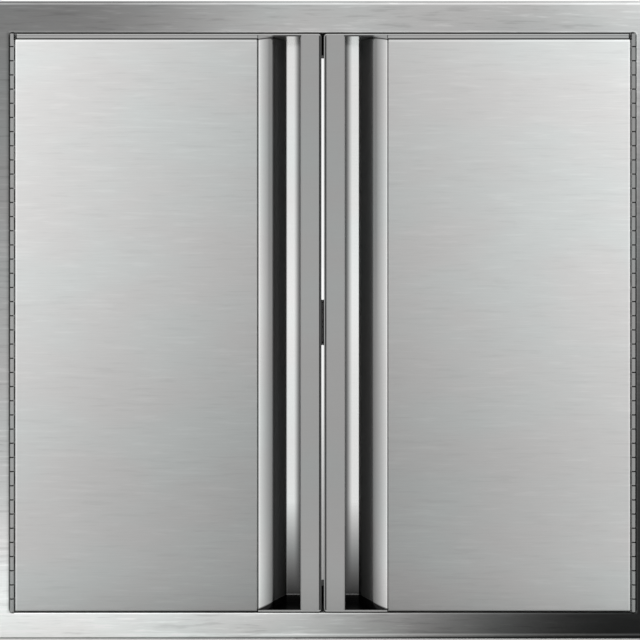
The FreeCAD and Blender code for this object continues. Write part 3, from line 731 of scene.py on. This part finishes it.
def hinge_steel(tones):
    """The hinge leaves: grain along the hinge, with painted shade that makes them a little darker
    at the right.
    """
    finish = Finish("hinge_steel")
    # Painted shade: darker toward the right
    right_shade = finish.rise(finish.x, -SKIN_HIGH.x, SKIN_HIGH.x)
    tone = finish.lighten(tones.hinge, right_shade, -0.04)
    return brushed_steel(finish, tone, upright=True, roughness=0.24, streaks=0.03)


def pin_steel():
    """The hinge pins, painted dark as shade in the splits between the knuckles."""
    return brushed_steel(Finish("pin_steel"), PIN_SHADE_TONE, upright=True, roughness=0.35)


def zinc_plate():
    """Zinc-plated screws and strikes: a fine even spangle with a cool tint."""
    finish = Finish("zinc_plate")
    grain = finish.noise((0.6 * MM, 0.6 * MM, 0.6 * MM))
    tone = finish.math("MULTIPLY", ZINC_TONE, finish.swing(grain, 0.07))
    finish.colour(tone, NEUTRAL, ZINC_TINT, grain)
    finish.shader.inputs["Metallic"].default_value = 1.0
    rough = finish.math("MULTIPLY_ADD", grain, 0.12, 0.22)
    finish.feed(finish.shader.inputs["Roughness"], rough)
    finish.bump(grain, 0.01 * MM, 0.5)
    return finish.material


def matt_black(name, tone, roughness, pebble, depth, shine):
    """Moulded black plastic or rubber with a fine pebbled skin and a little dust."""
    finish = Finish(name)
    skin = finish.noise((pebble, pebble, pebble), detail=2.0)
    dust = finish.noise((12 * MM, 12 * MM, 12 * MM), detail=4.0, seed=5.0)
    dusty = finish.math("MULTIPLY", tone, finish.swing(dust, 0.12))
    finish.colour(dusty, NEUTRAL, DUST_TINT, dust)
    rough = finish.math("MULTIPLY_ADD", dust, 0.15, roughness - 0.07)
    finish.feed(finish.shader.inputs["Roughness"], rough)
    finish.shader.inputs["Specular IOR Level"].default_value = shine
    finish.bump(skin, depth, 0.6)
    return finish.material


def smooth_turns():
    """The node group that shades every turn below the limit as smooth. It is made only once."""
    made = bpy.data.node_groups.get("smooth_turns")
    if made:
        return made
    group = bpy.data.node_groups.new("smooth_turns", "GeometryNodeTree")
    group.interface.new_socket("Mesh", in_out="INPUT", socket_type="NodeSocketGeometry")
    group.interface.new_socket("Mesh", in_out="OUTPUT", socket_type="NodeSocketGeometry")
    nodes, links = group.nodes, group.links
    enter, leave = nodes.new("NodeGroupInput"), nodes.new("NodeGroupOutput")
    faces = nodes.new("GeometryNodeSetShadeSmooth")
    faces.domain = "FACE"
    edges = nodes.new("GeometryNodeSetShadeSmooth")
    edges.domain = "EDGE"
    turn = nodes.new("GeometryNodeInputMeshEdgeAngle")
    small = nodes.new("ShaderNodeMath")
    small.operation = "LESS_THAN"
    small.inputs[1].default_value = SMOOTH_BELOW
    links.new(turn.outputs["Unsigned Angle"], small.inputs[0])
    links.new(enter.outputs[0], faces.inputs["Geometry"])
    links.new(faces.outputs[0], edges.inputs["Geometry"])
    links.new(small.outputs[0], edges.inputs["Shade Smooth"])
    links.new(edges.outputs[0], leave.inputs[0])
    return group


def soften(piece, edge):
    """Join the faces of a piece, round its cut edges and shade its folds smooth."""
    join = piece.modifiers.new("join", "WELD")
    join.merge_threshold = JOIN_REACH
    flat = piece.modifiers.new("flat", "DECIMATE")
    flat.decimate_type = "DISSOLVE"
    flat.angle_limit = FLAT_WITHIN
    if edge > 0:
        bevel = piece.modifiers.new("edge", "BEVEL")
        bevel.width = edge
        bevel.segments = 2
        bevel.limit_method = "ANGLE"
        bevel.angle_limit = EDGE_ABOVE
        bevel.use_clamp_overlap = True
    shade = piece.modifiers.new("shade", "NODES")
    shade.node_group = smooth_turns()
    weighted = piece.modifiers.new("weighted", "WEIGHTED_NORMAL")
    weighted.keep_sharp = True


def dress(node, material, edge=SHEET_EDGE):
    """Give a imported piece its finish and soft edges."""
    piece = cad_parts[node]
    piece.data.materials.clear()
    piece.data.materials.append(material)
    soften(piece, edge)
    return piece


def new_piece(name, mesh, material, body, node):
    """A piece made here that stands for a packed one."""
    piece = bpy.data.objects.new(name, mesh)
    bpy.context.scene.collection.objects.link(piece)
    mesh.materials.append(material)
    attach(piece, body)
    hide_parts(node)
    return piece


def knuckle_limits(low, high, sizes):
    """Heights of all knuckles of a hinge. The two end ones share what the full ones leave."""
    length = high - low
    full = 2 * int(length / (2 * sizes.pitch)) - 1
    end = (length - full * sizes.pitch) / 2
    splits = [low + end + number * sizes.pitch for number in range(full + 1)]
    half = sizes.gap / 2
    starts = [low] + [split + half for split in splits]
    stops = [split - half for split in splits] + [high]
    return list(zip(starts, stops))


def leaf_section(pin, outward, leaf_x, leaf_back, sizes):
    """Pairs of outer and inner points of a leaf, from its rear edge to the end of the roll."""
    root_y = pin.y + sizes.root
    inner_x = leaf_x - outward * sizes.sheet
    pairs = [((leaf_x, leaf_back), (inner_x, leaf_back)), ((leaf_x, root_y), (inner_x, root_y))]
    for step in range(sizes.steps + 1):
        turn = sizes.roll * step / sizes.steps
        along = Vector((outward * math.cos(turn), -math.sin(turn)))
        outer = pin + along * (sizes.bore + sizes.sheet)
        inner = pin + along * sizes.bore
        pairs.append((tuple(outer), tuple(inner)))
    return pairs


def leaf_mesh(name, section, spans, low, high):
    """One closed mesh: a flat leaf over the whole height, with a rolled knuckle over each span."""
    levels = sorted({low, high, *(z for span in spans for z in span)})
    mesh = bmesh.new()
    corners = {}

    def corner(pair, side, level):
        key = (pair, side, level)
        if key not in corners:
            x, y = section[pair][side]
            corners[key] = mesh.verts.new((x, y, levels[level]))
        return corners[key]

    def rolled(level):
        return any(start <= levels[level] < stop for start, stop in spans)

    flat, whole = 1, len(section) - 1
    reaches = [0] + [whole if rolled(n) else flat for n in range(len(levels) - 1)] + [0]
    for level in range(len(levels) - 1):
        reach = reaches[level + 1]
        for pair in range(reach):
            for side in (0, 1):
                mesh.faces.new((corner(pair, side, level), corner(pair + 1, side, level),
                                corner(pair + 1, side, level + 1), corner(pair, side, level + 1)))
        for pair in (0, reach):
            mesh.faces.new((corner(pair, 0, level), corner(pair, 1, level),
                            corner(pair, 1, level + 1), corner(pair, 0, level + 1)))
    for level, (below, above) in enumerate(zip(reaches, reaches[1:])):
        for pair in range(min(below, above), max(below, above)):
            mesh.faces.new((corner(pair, 0, level), corner(pair + 1, 0, level),
                            corner(pair + 1, 1, level), corner(pair, 1, level)))
    bmesh.ops.recalc_face_normals(mesh, faces=mesh.faces)
    data = bpy.data.meshes.new(name)
    mesh.to_mesh(data)
    mesh.free()
    return data


def screw_mesh(name, box, foot_up, sizes):
    """A pan-head screw that fills a packed screw's box, with a cross recess in its head."""
    low, high = box
    radius = (high.x - low.x) / 2
    length = high.z - low.z
    head = HEAD_HEIGHT
    profile = [
        (0, 0), (radius * 0.55, 0), (radius * 0.8, head * 0.12), (radius * 0.95, head * 0.36),
        (radius, head * 0.65), (radius, head), (SHANK_RADIUS, head), (SHANK_RADIUS, length),
        (0, length),
    ]
    mesh = bmesh.new()
    points = [mesh.verts.new((r, 0, z)) for r, z in profile]
    edges = [mesh.edges.new(pair) for pair in zip(points, points[1:])]
    bmesh.ops.spin(mesh, geom=points + edges, cent=(0, 0, 0), axis=(0, 0, 1), angle=2 * math.pi,
                   steps=sizes.steps, use_merge=True)
    bmesh.ops.remove_doubles(mesh, verts=mesh.verts, dist=0.01 * MM)
    bmesh.ops.recalc_face_normals(mesh, faces=mesh.faces)
    data = bpy.data.meshes.new(name)
    mesh.to_mesh(data)
    mesh.free()
    cut = subtract(data, cross_mesh(sizes))
    flip = Matrix.Identity(4) if foot_up else Matrix.Rotation(math.pi, 4, "X")
    middle = Vector(((low.x + high.x) / 2, (low.y + high.y) / 2, low.z if foot_up else high.z))
    cut.transform(Matrix.Translation(middle) @ flip)
    cut.name = name
    return cut


def cross_mesh(sizes):
    """The tapered cross that a driver leaves in a screw's head."""
    mesh = bmesh.new()
    for turn in (0, math.pi / 2):
        made = bmesh.ops.create_cube(mesh, size=1.0)["verts"]
        for vert in made:
            deep = vert.co.z > 0
            reach = sizes.recess_reach * CROSS_REACH[deep]
            width = sizes.recess_width / 2 * CROSS_WIDTH[deep]
            height = sizes.recess_depth if deep else -CROSS_ABOVE
            vert.co = (math.copysign(reach, vert.co.x), math.copysign(width, vert.co.y), height)
        bmesh.ops.rotate(mesh, verts=made, cent=(0, 0, 0), matrix=Matrix.Rotation(turn, 3, "Z"))
    data = bpy.data.meshes.new("cross")
    mesh.to_mesh(data)
    mesh.free()
    return data


def subtract(solid, tool):
    """The mesh of a solid with another one cut out of it."""
    body = bpy.data.objects.new("cut_body", solid)
    knife = bpy.data.objects.new("cut_tool", tool)
    for item in (body, knife):
        bpy.context.scene.collection.objects.link(item)
    cut = body.modifiers.new("cut", "BOOLEAN")
    cut.operation = "DIFFERENCE"
    cut.solver = "EXACT"
    cut.use_self = True
    cut.object = knife
    bpy.context.view_layer.update()
    graph = bpy.context.evaluated_depsgraph_get()
    result = bpy.data.meshes.new_from_object(body.evaluated_get(graph))
    for item in (body, knife):
        bpy.data.objects.remove(item)
    return result


class ACCESSDOOR_OT_face_frame(bpy.types.Operator):
    """Dress the one-piece face frame"""

    bl_idname = "access_door.face_frame"
    bl_label = "Face frame"
    bl_options = {"REGISTER", "UNDO"}

    def execute(self, context):
        tones = context.scene.access_door.tones
        dress("face_frame", face_frame_steel(tones), FRONT_EDGE)
        return {"FINISHED"}


class ACCESSDOOR_OT_sleeve(bpy.types.Operator):
    """Dress the jambs behind the frame and the two stop angles"""

    bl_idname = "access_door.sleeve"
    bl_label = "Jambs and stop angles"
    bl_options = {"REGISTER", "UNDO"}

    def execute(self, context):
        tones = context.scene.access_door.tones
        plain = mill_steel(tones)
        for node in ("jamb_header", "jamb_sill", "stop_angle_top", "stop_angle_bottom"):
            dress(node, plain)
        leaf_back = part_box("right_hinge_frame_leaf")[1].y
        hinged = mill_steel(tones, "jamb_steel", [("y", leaf_back - JAMB_WELD_INSET, "z")])
        for side in SIDES:
            dress(side + "_jamb", hinged)
        return {"FINISHED"}


class ACCESSDOOR_OT_hinges(bpy.types.Operator):
    """Roll the knuckles of the four hinge leaves and dress the two pins"""

    bl_idname = "access_door.hinges"
    bl_label = "Continuous hinges"
    bl_options = {"REGISTER", "UNDO"}

    def execute(self, context):
        sizes = context.scene.access_door.hinge
        steel = hinge_steel(context.scene.access_door.tones)
        pin_finish = pin_steel()
        for side in SIDES:
            low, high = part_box(side + "_hinge_pin")
            pin = Vector(((low.x + high.x) / 2, (low.y + high.y) / 2))
            spans = knuckle_limits(low.z, high.z, sizes)
            frame_leaf, door_leaf = side + "_hinge_frame_leaf", side + "_hinge_door_leaf"
            self.roll_leaf(frame_leaf, "frame", pin, spans[0::2], sizes, steel)
            self.roll_leaf(door_leaf, side + "_door", pin, spans[1::2], sizes, steel)
            dress(side + "_hinge_pin", pin_finish, PIN_EDGE)
        return {"FINISHED"}

    def roll_leaf(self, node, body, pin, spans, sizes, steel):
        """Replace a packed leaf by one whose knuckles are rolled round the pin."""
        low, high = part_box(node)
        outward = 1 if (low.x + high.x) / 2 > pin.x else -1
        leaf_x = high.x if outward > 0 else low.x
        section = leaf_section(pin, outward, leaf_x, high.y, sizes)
        mesh = leaf_mesh(node + "_rolled", section, spans, low.z, high.z)
        piece = new_piece(node + "_rolled", mesh, steel, body, node)
        soften(piece, sizes.edge)


class ACCESSDOOR_OT_skins(bpy.types.Operator):
    """Dress the two door skins"""

    bl_idname = "access_door.skins"
    bl_label = "Door skins"
    bl_options = {"REGISTER", "UNDO"}

    def execute(self, context):
        steel = skin_steel(context.scene.access_door.tones)
        for side in SIDES:
            dress(side + "_door_skin", steel, FRONT_EDGE)
        return {"FINISHED"}


class ACCESSDOOR_OT_inner_pans(bpy.types.Operator):
    """Dress the inner pans, their rims and the stiffeners of both doors"""

    bl_idname = "access_door.inner_pans"
    bl_label = "Inner pans and stiffeners"
    bl_options = {"REGISTER", "UNDO"}

    def execute(self, context):
        tones = context.scene.access_door.tones
        pan = mill_steel(tones, "pan_steel", self.weld_rows())
        plain = mill_steel(tones)
        rim = rim_steel(tones)
        for side in SIDES:
            dress(side + "_door_liner", pan)
            dress(side + "_pan_rim", rim, FRONT_EDGE)
            dress(side + "_stiffener", plain)
        return {"FINISHED"}

    def weld_rows(self):
        """Rows of spot welds round a pan's edge and along the flanges of its stiffener."""
        low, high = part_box("right_door_liner")
        brace_low, brace_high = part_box("right_stiffener")
        edges = (high.x - WELD_INSET, low.x + WELD_INSET)
        flanges = (brace_low.x + WELD_INSET / 2, brace_high.x - WELD_INSET / 2)
        upright = [("away", place, "z") for place in edges + flanges]
        level = [("z", place, "x") for place in (low.z + WELD_INSET, high.z - WELD_INSET)]
        return upright + level


class ACCESSDOOR_OT_channels(bpy.types.Operator):
    """Dress the rolled handle channels"""

    bl_idname = "access_door.channels"
    bl_label = "Handle channels"
    bl_options = {"REGISTER", "UNDO"}

    def execute(self, context):
        steel = channel_steel(context.scene.access_door.tones)
        for side in SIDES:
            dress(side + "_handle_channel", steel, 0)
        return {"FINISHED"}


class ACCESSDOOR_OT_grips(bpy.types.Operator):
    """Dress the grip bars"""

    bl_idname = "access_door.grips"
    bl_label = "Grip bars"
    bl_options = {"REGISTER", "UNDO"}

    def execute(self, context):
        steel = grip_steel(context.scene.access_door.tones)
        for side in SIDES:
            dress(side + "_grip_bar", steel, FRONT_EDGE)
        return {"FINISHED"}


class ACCESSDOOR_OT_recess_ends(bpy.types.Operator):
    """Dress the plates that close the recesses"""

    bl_idname = "access_door.recess_ends"
    bl_label = "Recess caps and floors"
    bl_options = {"REGISTER", "UNDO"}

    def execute(self, context):
        tones = context.scene.access_door.tones
        cap = channel_steel(tones, cap=True)
        floor = recess_floor_steel(tones)
        for side in SIDES:
            dress(side + "_recess_cap", cap)
            dress(side + "_recess_floor", floor)
        return {"FINISHED"}


class ACCESSDOOR_OT_catches(bpy.types.Operator):
    """Dress the catches and strikes, and turn their screws"""

    bl_idname = "access_door.catches"
    bl_label = "Catches and strikes"
    bl_options = {"REGISTER", "UNDO"}

    def execute(self, context):
        sizes = context.scene.access_door.screw
        plastic = matt_black("catch_plastic", tone=0.06, roughness=0.6, pebble=0.5 * MM,
                             depth=0.03 * MM, shine=0.15)
        ferrite = matt_black("magnet_ferrite", tone=0.3, roughness=0.45, pebble=0.3 * MM,
                             depth=0.02 * MM, shine=0.3)
        zinc = zinc_plate()
        for end in ENDS:
            dress("catch_housing_" + end, plastic, MOULDED_EDGE)
            dress("catch_magnets_" + end, ferrite, MAGNET_EDGE)
            self.turn_screws("catch_screws_" + end, end == "top", zinc, sizes)
            for side in SIDES:
                dress(f"{side}_strike_{end}", zinc, 0)
        return {"FINISHED"}

    def turn_screws(self, node, foot_up, zinc, sizes):
        """Replace a pair of packed screws, one on each side of the middle."""
        low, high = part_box(node)
        width = 2 * HEAD_RADIUS
        left = (low, Vector((low.x + width, high.y, high.z)))
        right = (Vector((high.x - width, low.y, low.z)), high)
        pair = bmesh.new()
        for number, box in enumerate((left, right)):
            pair.from_mesh(screw_mesh(f"{node}_{number}", box, foot_up, sizes))
        mesh = bpy.data.meshes.new(node + "_turned")
        pair.to_mesh(mesh)
        pair.free()
        piece = new_piece(node + "_turned", mesh, zinc, "frame", node)
        soften(piece, 0)


class ACCESSDOOR_OT_pads(bpy.types.Operator):
    """Dress the bumpers and the pads on the meeting edges"""

    bl_idname = "access_door.pads"
    bl_label = "Bumpers and meeting pads"
    bl_options = {"REGISTER", "UNDO"}

    def execute(self, context):
        rubber = matt_black("black_rubber", tone=0.05, roughness=0.85, pebble=0.8 * MM,
                            depth=0.04 * MM, shine=0.1)
        for side in SIDES:
            dress(side + "_bumpers", rubber, RUBBER_EDGE)
            pad = dress(side + "_meeting_pad", rubber, 0)
            swell = pad.modifiers.new("swell", "DISPLACE")
            swell.strength = PAD_SWELL
            swell.mid_level = 0
        return {"FINISHED"}


class ACCESSDOOR_OT_studio(bpy.types.Operator):
    """Set up the floor, the soft lights and the camera"""

    bl_idname = "access_door.studio"
    bl_label = "Studio"
    bl_options = {"REGISTER", "UNDO"}

    def execute(self, context):
        studio = context.scene.access_door.studio
        self.lay_floor(studio)
        self.set_room(studio)
        for name, (setting, size, place, target) in SOFT_LIGHTS.items():
            self.hang_light(name, getattr(studio, setting), size, Vector(place), Vector(target))
        self.set_camera(studio)
        context.scene.view_settings.view_transform = "Standard"
        return {"FINISHED"}

    def lay_floor(self, studio):
        """A pale floor with a soft shade behind the door, that fades into the background."""
        finish = Finish("floor_paint")
        cloud = finish.noise((0.4, 0.4, 0.4))
        behind = finish.math("DIVIDE", finish.y, FLOOR_FADE_BEHIND)
        before = finish.rise(finish.y, *FLOOR_FADE_BEFORE, smooth=False)
        aside = finish.rise(finish.away, *FLOOR_FADE_ASIDE, smooth=False)
        far = finish.math("MAXIMUM", finish.math("MAXIMUM", behind, before), aside, clamp=True)
        front, rear = finish.rise(finish.y, *SHADE_FRONT), finish.rise(finish.y, *SHADE_REAR)
        shade = finish.math("MULTIPLY", front, rear)
        shade = finish.math("MULTIPLY", finish.rise(finish.away, *SHADE_SIDES), shade)
        lit = finish.math("MULTIPLY_ADD", shade, -studio.shade, 1.0)
        lit = finish.math("MULTIPLY", lit, finish.swing(cloud, 0.02))
        near = finish.math("SUBTRACT", 1.0, far)
        paint = finish.add("ShaderNodeVectorMath", operation="SCALE")
        paint.inputs[0].default_value = studio.floor_colour
        finish.feed(paint.inputs["Scale"], finish.math("MULTIPLY", near, lit))
        shader = finish.shader
        finish.feed(shader.inputs["Base Color"], paint.outputs[0])
        shader.inputs["Roughness"].default_value = 0.7
        shader.inputs["Specular IOR Level"].default_value = 0.1
        shader.inputs["Emission Color"].default_value = (1.0, 1.0, 1.0, 1)
        glow = finish.math("MULTIPLY", far, studio.background)
        finish.feed(shader.inputs["Emission Strength"], glow)
        mesh = bpy.data.meshes.new("floor")
        reach = FLOOR_HALF
        corners = [(-reach, -reach, 0), (reach, -reach, 0), (reach, reach, 0), (-reach, reach, 0)]
        mesh.from_pydata(corners, [], [(0, 1, 2, 3)])
        mesh.materials.append(finish.material)
        floor = bpy.data.objects.new("floor", mesh)
        floor.location.z = cad_box[0].z
        bpy.context.scene.collection.objects.link(floor)

    def set_room(self, studio):
        """An even room for the reflections, and a plain pale background for the camera."""
        world = bpy.data.worlds.new("room")
        world.use_nodes = True
        tree = world.node_tree
        tree.nodes.clear()
        path = tree.nodes.new("ShaderNodeLightPath")
        shades = []
        for brightness in (studio.room, studio.background):
            shade = tree.nodes.new("ShaderNodeBackground")
            shade.inputs["Color"].default_value = (1.0, 1.0, 1.0, 1)
            shade.inputs["Strength"].default_value = brightness
            shades.append(shade)
        mix = tree.nodes.new("ShaderNodeMixShader")
        output = tree.nodes.new("ShaderNodeOutputWorld")
        tree.links.new(path.outputs["Is Camera Ray"], mix.inputs[0])
        tree.links.new(shades[0].outputs[0], mix.inputs[1])
        tree.links.new(shades[1].outputs[0], mix.inputs[2])
        tree.links.new(mix.outputs[0], output.inputs["Surface"])
        bpy.context.scene.world = world

    def hang_light(self, name, brightness, size, place, target):
        """A soft box turned to a target. Its power follows from its brightness and area."""
        light = bpy.data.lights.new(name, "AREA")
        light.shape = "RECTANGLE"
        light.size, light.size_y = size
        light.energy = brightness * math.pi * size[0] * size[1]
        box = bpy.data.objects.new(name, light)
        box.location = place
        box.rotation_euler = (target - place).to_track_quat("-Z", "Y").to_euler()
        box.visible_camera = False
        bpy.context.scene.collection.objects.link(box)

    def set_camera(self, studio):
        """A level camera in front, whose lens is shifted down from its own height."""
        camera = bpy.data.cameras.new("camera")
        camera.sensor_width = SENSOR_WIDTH
        camera.lens = camera.sensor_width * studio.distance / studio.view_width
        camera.shift_y = -studio.shift
        holder = bpy.data.objects.new("camera", camera)
        holder.location = (studio.aside, FACE_Y - studio.distance, studio.shift * studio.view_width)
        holder.rotation_euler = (math.pi / 2, 0, 0)
        bpy.context.scene.collection.objects.link(holder)
        bpy.context.scene.camera = holder


PIECE_OPERATORS = (
    ACCESSDOOR_OT_face_frame,
    ACCESSDOOR_OT_sleeve,
    ACCESSDOOR_OT_hinges,
    ACCESSDOOR_OT_skins,
    ACCESSDOOR_OT_inner_pans,
    ACCESSDOOR_OT_channels,
    ACCESSDOOR_OT_grips,
    ACCESSDOOR_OT_recess_ends,
    ACCESSDOOR_OT_catches,
    ACCESSDOOR_OT_pads,
    ACCESSDOOR_OT_studio,
)


class ACCESSDOOR_PT_pieces(bpy.types.Panel):
    """Lists what the access door is made of, and its settings"""

    bl_label = "Access door"
    bl_idname = "ACCESSDOOR_PT_pieces"
    bl_space_type = "VIEW_3D"
    bl_region_type = "UI"
    bl_category = "Access door"

    def draw(self, context):
        for operator in PIECE_OPERATORS:
            self.layout.operator(operator.bl_idname)
        for part in AccessDoorSettings.__annotations__:
            group = getattr(context.scene.access_door, part)
            column = self.layout.column(heading=part.capitalize())
            for size in type(group).__annotations__:
                column.prop(group, size)


GROUPS = (HingeSizes, ScrewSizes, SteelTones, StudioSettings, AccessDoorSettings)
CLASSES = (*GROUPS, *PIECE_OPERATORS, ACCESSDOOR_PT_pieces)


def register():
    """Make the classes and the settings known."""
    for item in CLASSES:
        bpy.utils.register_class(item)
    bpy.types.Scene.access_door = PointerProperty(
        type=AccessDoorSettings, name="Access door", description="Settings of the access door")


def unregister():
    """Take the settings and the classes away again."""
    del bpy.types.Scene.access_door
    for item in reversed(CLASSES):
        bpy.utils.unregister_class(item)


def main():
    """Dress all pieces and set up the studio."""
    register()
    for operator in PIECE_OPERATORS:
        group, name = operator.bl_idname.split(".")
        getattr(getattr(bpy.ops, group), name)()


if __name__ == "__main__":
    main()
